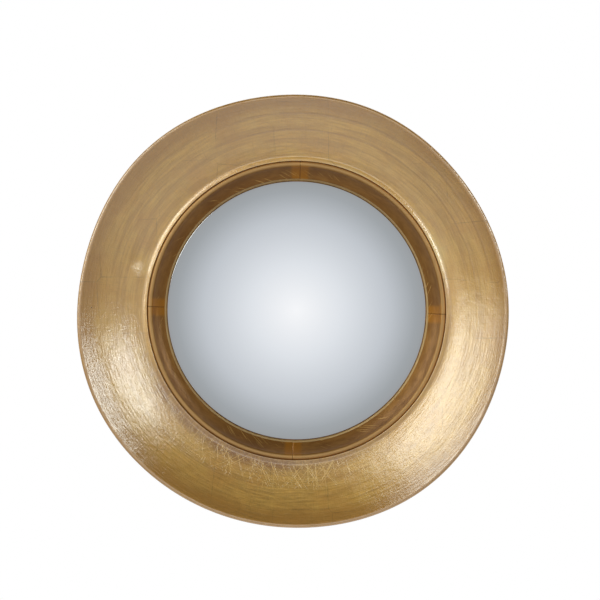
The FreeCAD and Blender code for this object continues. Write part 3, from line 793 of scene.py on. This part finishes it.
def backing_paint():
    """Grey protective paint over the silvering."""
    finish = Finish("backing_paint")
    drag = finish.noise(finish.scale(finish.place(), 6.0, 1.0, 90.0), 1.0, 4.0, 0.6)
    finish.set("Base Color", finish.blend(drag, colour(92, 96, 100), colour(112, 116, 119)))
    finish.set("Roughness", finish.fade(drag, 0.3, 0.7, 0.5, 0.68))
    finish.set("Normal", finish.bump(drag, 0.3, 0.1 * MM))
    return finish.material


# ---------------------------------------------------------------------------------------------
# Back and fittings
# ---------------------------------------------------------------------------------------------

SIGHT_GILT_WIDTH = 2.6 * MM     # the leaf by the glass is full up to here, and gone a little further
SIGHT_GILT_FADE = 0.6 * MM


def ring_paint():
    """Dark umber paint on the back, brushed and worn; leaf laps over it at the rim and by the glass."""
    finish = Finish("ring_paint")
    finish.set("Specular IOR Level", 0.25)
    place = finish.place()
    r, outward, _ = finish.polar()
    brush = finish.noise(finish.round_ring(r, outward, 7.0, 700.0), 1.0, 4.0, 0.65)
    cloud = finish.noise(place, 12.0, 4.0, 0.6)
    clouded = finish.math("SUBTRACT", cloud, 0.5)
    chip = finish.specks(place, 260.0, (0.26, 0.2), 0, (0.955, 0.965))
    ragged = finish.add(r, finish.times(clouded, 5 * MM))
    worn = finish.window(ragged, HEEL_RADIUS - 0.6 * MM, HEEL_RADIUS + 1.4 * MM, 0.5 * MM)
    gilt_to = SIGHT_RADIUS + SIGHT_GILT_WIDTH
    sight = finish.fade(r, gilt_to + SIGHT_GILT_FADE, gilt_to)
    lap = finish.node("Attribute", attribute_name="leaf").outputs["Fac"]
    lap = finish.fade(finish.add(lap, finish.times(clouded, 0.9)), 0.55, 0.60)
    base = finish.blend(finish.fade(brush, 0.3, 0.7), colour(58, 45, 35), colour(76, 60, 47))
    finish.set("Base Color", finish.layered(
        base,
        (finish.fade(cloud, 0.45, 0.75, 0.0, 0.5), colour(92, 73, 56)),
        (finish.times(finish.math("MAXIMUM", chip, worn), 0.6), colour(134, 104, 70)),
        (lap, colour(214, 168, 92)),
        (sight, colour(226, 192, 136)),
    ))
    finish.set("Metallic", finish.math("MAXIMUM", lap, finish.times(sight, 0.5)))
    finish.set("Roughness", finish.fade(finish.add(brush, cloud), 0.7, 1.3, 0.58, 0.78))
    height = finish.add(brush, finish.times(chip, -0.8), finish.times(cloud, 0.4))
    finish.set("Normal", finish.bump(height, 0.45, 0.25 * MM))
    return finish.material


def hardboard():
    """Smooth brown hardboard with fibres and a few dark flecks."""
    finish = Finish("hardboard")
    place = finish.place()
    fibre = finish.noise(finish.scale(place, 240.0, 900.0, 900.0), 1.0, 4.0, 0.7)
    cross = finish.noise(finish.scale(place, 1000.0, 900.0, 300.0), 1.0, 3.0, 0.7)
    cloud = finish.noise(place, 14.0, 4.0, 0.55)
    fleck = finish.specks(finish.scale(place, 1.0, 1.0, 2.2), 210.0, (0.3, 0.22), 2, (0.93, 0.95))
    fibres = finish.add(fibre, cross)
    base = finish.blend(finish.fade(fibres, 0.75, 1.25), colour(112, 76, 46), colour(144, 104, 66))
    finish.set("Base Color", finish.layered(
        base,
        (finish.fade(cloud, 0.35, 0.7, 0.0, 0.4), colour(98, 66, 40)),
        (finish.times(fleck, 0.7), colour(62, 42, 28)),
    ))
    finish.set("Roughness", finish.fade(cloud, 0.3, 0.7, 0.5, 0.66))
    finish.set("Normal", finish.bump(fibres, 0.3, 0.1 * MM))
    return finish.material


def plated_steel(name, tint, shade, rough):
    """Barrel-plated steel: bright, a little cloudy, with fine tumbling marks."""
    finish = Finish(name, metallic=1.0)
    place = finish.place()
    cloud = finish.noise(place, 120.0, 4.0, 0.6)
    marks = finish.scratches(finish.scale(place, 900.0, 90.0, 160.0), 0.62)
    spangle = finish.cells(place, 1400.0)["Distance"]
    base = finish.blend(finish.fade(cloud, 0.3, 0.7), shade, tint)
    finish.set("Base Color", finish.blend(finish.times(marks, 0.35), base, colour(120, 116, 108)))
    dulled = finish.add(cloud, finish.times(marks, 0.3))
    finish.set("Roughness", finish.fade(dulled, 0.3, 0.9, rough, rough + 0.16))
    finish.set("Normal", finish.bump(finish.add(spangle, finish.times(marks, -0.6)), 0.18, 0.08 * MM))
    return finish.material


def rubber(name, dark, pale):
    """Moulded rubber with a fine matt skin and a dusty bloom."""
    finish = Finish(name)
    place = finish.place()
    skin = finish.noise(place, 1800.0, 3.0, 0.6)
    bloom = finish.noise(place, 90.0, 4.0, 0.6)
    finish.set("Base Color", finish.blend(finish.fade(bloom, 0.4, 0.75), dark, pale))
    finish.set("Roughness", finish.fade(bloom, 0.3, 0.7, 0.62, 0.82))
    finish.set("Normal", finish.bump(skin, 0.4, 0.1 * MM))
    return finish.material


def felt():
    """Pressed wool felt, undyed, with loose fibres."""
    finish = Finish("felt")
    place = finish.place()
    fibre = finish.noise(finish.scale(place, 2200.0, 2200.0, 500.0), 1.0, 4.0, 0.7)
    tuft = finish.noise(place, 300.0, 4.0, 0.7)
    wool = finish.add(fibre, tuft)
    base = finish.blend(finish.fade(wool, 0.7, 1.3), colour(150, 132, 104), colour(196, 180, 150))
    finish.set("Base Color", base)
    finish.set("Roughness", finish.fade(tuft, 0.3, 0.7, 0.88, 1.0))
    finish.set("Normal", finish.bump(wool, 0.7, 0.3 * MM))
    return finish.material


# ---------------------------------------------------------------------------------------------
# Stage, world, lamps and camera
# ---------------------------------------------------------------------------------------------

PHOTO_SIDE = 600            # pixels
PHOTO_SCALE = 1.381 * MM    # per pixel at the rim
AXIS_PIXEL_X = 296.5        # the glass axis in the photograph
AXIS_PIXEL_Y = 310.5
CAMERA_DISTANCE = 5.0
SENSOR = 36.0


def camera():
    data = bpy.data.cameras.new("camera")
    data.sensor_width = SENSOR
    data.lens = SENSOR * (CAMERA_DISTANCE - RIM_TOP) / (PHOTO_SIDE * PHOTO_SCALE)
    data.shift_x = (PHOTO_SIDE / 2 - AXIS_PIXEL_X) / PHOTO_SIDE
    data.shift_y = (AXIS_PIXEL_Y - PHOTO_SIDE / 2) / PHOTO_SIDE
    made = bpy.data.objects.new("camera", data)
    made.location = (0, -CAMERA_DISTANCE, 0)
    made.rotation_euler = (math.pi / 2, 0, 0)
    bpy.context.scene.collection.objects.link(made)
    bpy.context.scene.camera = made


# What the mirror and the metal see of the room: (degrees off the glass axis, colour)
ROOM_LIGHT = (
    (0, (0.985, 0.98, 1.0)),
    (10, (0.79, 0.81, 0.85)),
    (20, (0.57, 0.595, 0.635)),
    (26, (0.38, 0.40, 0.42)),
    (31, (0.31, 0.31, 0.31)),
    (40, (0.41, 0.41, 0.41)),
    (52, (0.38, 0.38, 0.38)),
    (64, (0.25, 0.25, 0.25)),
    (76, (0.10, 0.10, 0.10)),
    (92, (0.05, 0.05, 0.05)),
    (112, (0.25, 0.25, 0.25)),
    (180, (0.45, 0.45, 0.45)),
)
ROOM_BELOW = 0.14           # added where the pale floor of the room lights the metal from below
ROOM_STEP = -0.24           # the dark front edge of that floor, which only the lip's low side sees
ROOM_ABOVE = -0.25          # taken away under the dark ceiling
ROOM_LEAST = 0.03
GLASS_SEES_TO = 30          # degrees off the glass axis; the metal alone sees the room beyond that
METAL_SEES_FROM = 44
STEP_FROM = 30.5            # the floor's front edge, in degrees off the glass axis
STEP_TO = 40
STEP_SOFT = 1.5


def room_unevenness(room, off_axis, z):
    """What the room adds below the axis and takes away above it, by the height z of the ray."""
    below = room.fade(z, -0.10, -0.38, 0.0, ROOM_BELOW)
    above = room.fade(z, 0.10, 0.45, 0.0, ROOM_ABOVE)
    beyond_glass = room.fade(off_axis, GLASS_SEES_TO / 180, METAL_SEES_FROM / 180)
    step = room.window(off_axis, STEP_FROM / 180, STEP_TO / 180, STEP_SOFT / 180)
    step = room.times(step, room.fade(z, -0.30, -0.44))
    return room.add(room.times(room.add(below, above), beyond_glass), room.times(step, ROOM_STEP))


def studio_world():
    world = bpy.data.worlds.new("studio")
    bpy.context.scene.world = world
    world.use_nodes = True
    room = Nodes(world.node_tree)
    _, y, z = room.node("SeparateXYZ", room.node("TexCoord").outputs["Generated"]).outputs
    off_axis = room.times(room.math("ARCCOSINE", room.times(y, -1.0)), 1 / math.pi)
    ramp = room.node("ValToRGB", off_axis)
    while len(ramp.color_ramp.elements) < len(ROOM_LIGHT):
        ramp.color_ramp.elements.new(0.5)
    for element, (angle, value) in zip(ramp.color_ramp.elements, ROOM_LIGHT):
        element.position = angle / 180
        element.color = (*value, 1.0)
    uneven = room_unevenness(room, off_axis, z)
    light = room.blend(1.0, ramp.outputs[0], room.vector(uneven, uneven, uneven), "ADD")
    light = room.blend(1.0, light, (ROOM_LEAST, ROOM_LEAST, ROOM_LEAST, 1.0), "LIGHTEN")
    # The white sweep behind the mirror; its reflections see it there too, and the room in front
    path = room.node("LightPath").outputs
    reflected = room.math("MAXIMUM", path["Is Glossy Ray"], path["Is Transmission Ray"])
    seen = room.math("MAXIMUM", path["Is Camera Ray"], room.times(reflected, room.fade(y, 0.1, 0.3)))
    room.join(room.blend(seen, light, (1, 1, 1, 1)), world.node_tree.nodes["Background"].inputs["Color"])


LAMP_COLOUR = (0.98, 1.02, 0.96)


def softbox(name, image_angle, off_axis, distance, around, outwards, radiance, shape="RECTANGLE"):
    """Area lamp that faces the glass: its long way runs around the glass axis.

    image_angle is clockwise from +X as the photograph shows it, off_axis the angle from the glass axis.
    """
    a, off = math.radians(-image_angle), math.radians(off_axis)
    towards = Vector((math.sin(off) * math.cos(a), -math.cos(off), math.sin(off) * math.sin(a)))
    side = Vector((-math.sin(a), 0, math.cos(a)))
    data = bpy.data.lights.new(name, "AREA")
    data.shape = shape
    data.size, data.size_y = around, outwards
    area = around * outwards * (math.pi / 4 if shape == "ELLIPSE" else 1)
    data.energy = radiance * math.pi * area
    data.color = LAMP_COLOUR
    made = bpy.data.objects.new(name, data)
    made.matrix_world = Matrix.Translation(towards * distance) @ Matrix(
        (side, towards.cross(side), towards)).transposed().to_4x4()
    made.visible_camera = False
    bpy.context.scene.collection.objects.link(made)


def lamps():
    softbox("left_scrim", 208, 56, 4.0, 4.2, 2.4, 0.9)
    softbox("left_lamp", 211, 47, 3.9, 3.0, 1.9, 1.9, shape="ELLIPSE")
    softbox("right_lamp", 336, 48.5, 4.0, 2.0, 0.9, 5.0, shape="ELLIPSE")


FLOOR_HEIGHT = -0.9
FLOOR_CENTRE = 0.3
FLOOR_RADIUS = 0.9
FLOOR_STEPS = 96
FLOOR_GREY = (0.85, 0.85, 0.85, 1.0)
FLOOR_GLOW = 0.6            # share of white in what the camera and reflections see of it


def floor():
    angles = np.arange(FLOOR_STEPS) * 2 * math.pi / FLOOR_STEPS
    ring = [(FLOOR_RADIUS * math.cos(a), FLOOR_CENTRE + FLOOR_RADIUS * math.sin(a), FLOOR_HEIGHT)
            for a in angles]
    mesh = bpy.data.meshes.new("floor")
    mesh.from_pydata(ring, [], [tuple(range(FLOOR_STEPS))])
    made = bpy.data.objects.new("floor", mesh)
    bpy.context.scene.collection.objects.link(made)
    finish = Finish("floor", roughness=0.8)
    finish.set("Base Color", FLOOR_GREY)
    glow = finish.node("Emission")
    path = finish.node("LightPath").outputs
    seen = finish.math("MAXIMUM", path["Is Camera Ray"], path["Is Glossy Ray"])
    seen = finish.math("MAXIMUM", seen, path["Is Transmission Ray"])
    share = finish.times(seen, FLOOR_GLOW)
    mix = finish.node("MixShader", share, finish.shader.outputs[0], glow.outputs[0])
    finish.join(mix.outputs[0], finish.tree.nodes["Material Output"].inputs[0])
    mesh.materials.append(finish.material)


# ---------------------------------------------------------------------------------------------
# Assembly
# ---------------------------------------------------------------------------------------------

def dress(piece, *materials):
    faces = piece.data.polygons
    slots = np.zeros(len(faces), np.int32)
    faces.foreach_get("material_index", slots)
    piece.data.materials.clear()        # this also resets the faces' slots
    for material in materials:
        piece.data.materials.append(material)
    faces.foreach_set("material_index", slots)


def dress_nodes(material, *starts):
    """Gives the material to every CAD node whose name starts so."""
    for name, node in nodes.items():
        if name.startswith(starts):
            for slot in node.material_slots:
                slot.material = material


camera()
paint = ring_paint()
dress(front_ring(), gold_leaf(), paint)
leaf = liner_leaf()
for piece in liners():
    dress(piece, leaf)
dress(mirror_glass(), mirror_silver(), glass_edge(), backing_paint())

zinc, zinc_shade = colour(196, 196, 192), colour(168, 168, 166)
brass, brass_shade = colour(196, 168, 104), colour(160, 132, 78)
dress_nodes(paint, "back_ring")
dress_nodes(hardboard(), "backing_board")
dress_nodes(felt(), "glass_seal")
dress_nodes(rubber("block_rubber", colour(46, 46, 47), colour(70, 70, 70)), "setting_block")
dress_nodes(rubber("bumper_rubber", colour(120, 122, 120), colour(150, 152, 150)), "wall_bumper")
dress_nodes(plated_steel("turn_button_steel", zinc, zinc_shade, 0.3), "turn_button")
dress_nodes(plated_steel("hanger_steel", brass, brass_shade, 0.26),
            "left_hanger", "right_hanger", "hanger_screws")

studio_world()
lamps()
floor()
bpy.context.scene.view_settings.view_transform = "Standard"
